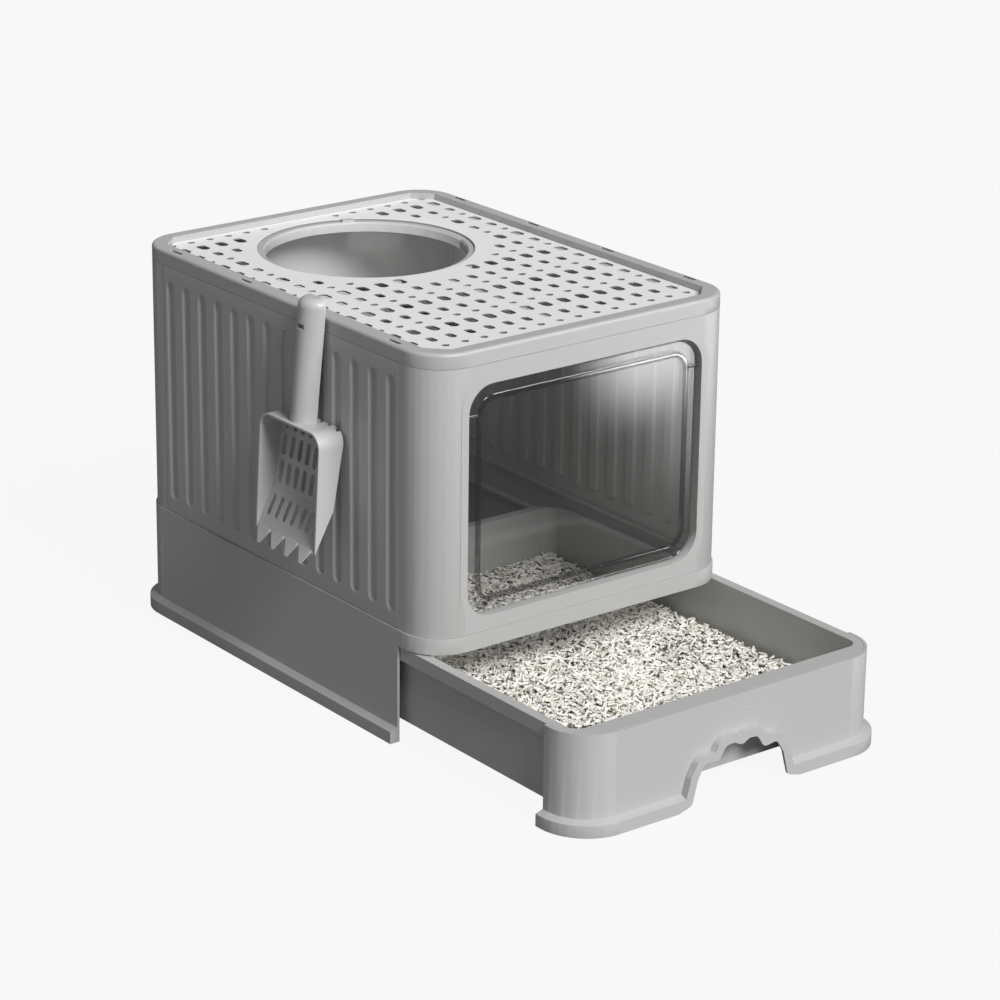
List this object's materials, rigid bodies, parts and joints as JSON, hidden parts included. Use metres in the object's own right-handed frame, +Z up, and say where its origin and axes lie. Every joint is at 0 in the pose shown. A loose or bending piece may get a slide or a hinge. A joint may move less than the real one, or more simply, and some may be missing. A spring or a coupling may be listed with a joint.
{
  "type": "drawer litter box",
  "caption": "Covered litter box with a wide pull-out drawer, a swinging see-through front flap, a top grate with a round exit, and a hanging scoop.",
  "frame": {"origin": "on the floor under the middle of the housing", "axes": "+Z up, -Y towards the drawer and the window, -X towards the scoop"},
  "size_m": [0.4092, 0.716, 0.397],
  "materials": {
    "housing_grey": "satin",
    "drawer_grey": "satin",
    "bush_grey": "satin",
    "pin_grey": "smooth",
    "flap_clear": "clear smoked sheet",
    "grate_white": "satin",
    "litter_pellets": "dry pressed pellets",
    "scoop_grey": "satin"
  },
  "bodies": {
    "housing": {"base_housing": "housing_grey", "runner_left": "housing_grey", "runner_right": "housing_grey", "front_panel": "housing_grey", "back_panel": "housing_grey", "left_side_panel": "housing_grey", "right_side_panel": "housing_grey", "door_bush_left": "bush_grey", "door_bush_right": "bush_grey"},
    "door": {"door_flap": "flap_clear", "door_pin_left": "pin_grey", "door_pin_right": "pin_grey"},
    "cover": {"top_cover": "housing_grey", "exit_collar": "housing_grey"},
    "grate": {"top_grate": "grate_white"},
    "drawer": {"drawer_tray": "drawer_grey", "drawer_front": "drawer_grey", "front_stud_left": "pin_grey", "front_stud_right": "pin_grey", "litter_bed": "litter_pellets"},
    "scoop": {"scoop": "scoop_grey"}
  },
  "joints": [
    {"name": "drawer_slide", "type": "slide", "parent": "housing", "child": "drawer", "axis": [0, -1, 0], "range_m": [-0.213, 0.28]},
    {"name": "door_swing", "type": "hinge", "parent": "housing", "child": "door", "pos_m": [0, -0.2365, 0.316], "axis": [1, 0, 0], "range_deg": [-85, 85]},
    {"name": "cover_lift", "type": "slide", "parent": "housing", "child": "cover", "axis": [0, 0, 1], "range_m": [0, 0.12]},
    {"name": "grate_lift", "type": "slide", "parent": "cover", "child": "grate", "axis": [0, 0, 1], "range_m": [0, 0.08]},
    {"name": "scoop_lift", "type": "slide", "parent": "cover", "child": "scoop", "axis": [0, 0, 1], "range_m": [0, 0.12]}
  ]
}
